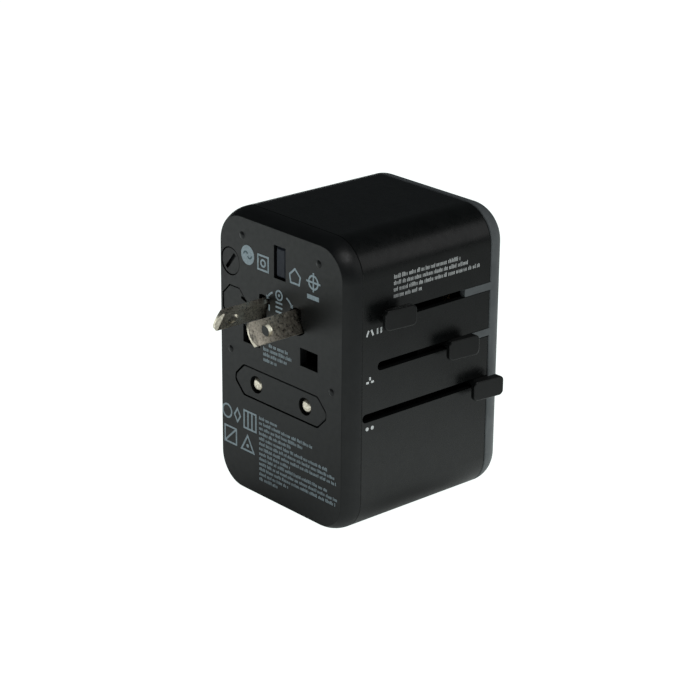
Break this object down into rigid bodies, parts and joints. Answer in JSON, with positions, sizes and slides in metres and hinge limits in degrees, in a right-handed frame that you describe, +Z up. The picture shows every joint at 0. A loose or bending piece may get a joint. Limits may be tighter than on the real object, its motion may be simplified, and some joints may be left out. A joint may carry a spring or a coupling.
{
  "type": "universal travel adapter",
  "caption": "Box-shaped travel plug adapter with sliding plugs of three patterns, twisting flat blades, a shuttered universal socket at the back and a USB charger.",
  "frame": {"origin": "centre of the flat face that the adapter stands on", "axes": "+Z up along the height, -Y out of the plug face, +Y out of the socket face, +X out of the wall with the slider knobs"},
  "size_m": [0.0546, 0.07, 0.077],
  "materials": {
    "case_black": "moulded matte black plastic",
    "face_black": "moulded matte black plastic",
    "frame_grey": "satin graphite grey plastic",
    "knob_black": "matte black plastic",
    "inner_plastic": "plain moulded plastic",
    "pin_grey": "moulded grey plastic",
    "pale_plastic": "plain moulded plastic",
    "nickel": "nickel plated brass",
    "contact_brass": "bright stamped brass",
    "spring_steel": "spring steel",
    "screw_steel": "zinc plated steel",
    "fuse_ceramic": "glazed ceramic with plated caps",
    "board_green": "glass fibre circuit board",
    "ferrite": "ferrite",
    "winding_tape": "polyester tape over copper winding",
    "capacitor": "sleeved aluminium can",
    "inductor": "enamelled copper over a core",
    "port_steel": "plated steel shell",
    "port_tongue": "moulded plastic",
    "light_pipe": "clear moulded plastic",
    "lead_insulation": "soft insulated wire"
  },
  "bodies": {
    "case": {"front_cover": "face_black", "main_sleeve": "case_black", "rear_frame": "frame_grey", "socket_face": "face_black", "shutter_spring": "spring_steel", "contact_carrier": "inner_plastic", "lower_deck": "inner_plastic", "upper_deck": "inner_plastic", "detent_springs": "spring_steel", "carrier_screws": "screw_steel", "fuse_housing": "inner_plastic", "working_fuse": "fuse_ceramic", "spare_fuse": "fuse_ceramic", "fuse_front_clip": "contact_brass", "fuse_rear_clip": "contact_brass", "line_socket_contact": "contact_brass", "neutral_socket_contact": "contact_brass", "line_bus": "contact_brass", "neutral_bus": "contact_brass", "barrier_plate": "pale_plastic", "charger_board": "board_green", "transformer_core": "ferrite", "transformer_winding": "winding_tape", "bulk_capacitors": "capacitor", "output_capacitors": "capacitor", "filter_inductor": "inductor", "usb_a_shells": "port_steel", "usb_a_tongues": "port_tongue", "usb_c_shells": "port_steel", "usb_c_tongues": "port_tongue", "light_pipe": "light_pipe", "mains_leads": "lead_insulation"},
    "usa_slider": {"usa_carriage": "inner_plastic", "usa_knob": "knob_black", "usa_line_strip": "contact_brass", "usa_neutral_strip": "contact_brass"},
    "left_blade_unit": {"left_blade": "nickel", "left_blade_rotor": "inner_plastic", "left_rotor_clip": "spring_steel"},
    "right_blade_unit": {"right_blade": "nickel", "right_blade_rotor": "inner_plastic", "right_rotor_clip": "spring_steel"},
    "uk_slider": {"uk_carriage": "inner_plastic", "uk_knob": "knob_black", "uk_line_pin": "nickel", "uk_neutral_pin": "nickel", "uk_earth_pin": "pin_grey"},
    "eu_slider": {"eu_carriage": "inner_plastic", "eu_knob": "knob_black", "eu_line_pin": "nickel", "eu_neutral_pin": "nickel"},
    "eu_block_slider": {"eu_block": "face_black"},
    "fuse_cap_unit": {"fuse_cap": "face_black"},
    "spare_door_unit": {"spare_fuse_door": "face_black"},
    "shutter_unit": {"safety_shutter": "inner_plastic"}
  },
  "joints": [
    {"name": "usa_slide", "type": "slide", "parent": "case", "child": "usa_slider", "axis": [0, 1, 0], "range_m": [0, 0.02]},
    {"name": "left_blade_turn", "type": "hinge", "parent": "usa_slider", "child": "left_blade_unit", "pos_m": [-0.0066, -0.0199, 0.05345], "axis": [0, -1, 0], "range_deg": [0, 30]},
    {"name": "right_blade_turn", "type": "hinge", "parent": "usa_slider", "child": "right_blade_unit", "pos_m": [0.0066, -0.0199, 0.05345], "axis": [0, 1, 0], "range_deg": [0, 30]},
    {"name": "uk_slide", "type": "slide", "parent": "case", "child": "uk_slider", "axis": [0, -1, 0], "range_m": [0, 0.023]},
    {"name": "eu_slide", "type": "slide", "parent": "case", "child": "eu_slider", "axis": [0, -1, 0], "range_m": [0, 0.0373]},
    {"name": "eu_block_slide", "type": "slide", "parent": "case", "child": "eu_block_slider", "axis": [0, -1, 0], "range_m": [0, 0.0184]},
    {"name": "fuse_cap_turn", "type": "hinge", "parent": "case", "child": "fuse_cap_unit", "pos_m": [-0.01945, -0.0274, 0.0625], "axis": [0, 1, 0], "range_deg": [0, 90]},
    {"name": "spare_door_pull", "type": "slide", "parent": "case", "child": "spare_door_unit", "axis": [0, -1, 0], "range_m": [0, 0.006]},
    {"name": "shutter_slide", "type": "slide", "parent": "case", "child": "shutter_unit", "axis": [1, 0, 0], "range_m": [0, 0.008], "stiffness_N_per_m": 60, "springref_m": -0.003, "deforming": ["shutter_spring"]}
  ],
  "couplings": [
    {"joint": "eu_block_slide", "follows": "eu_slide", "ratio": 0.4906}
  ]
}
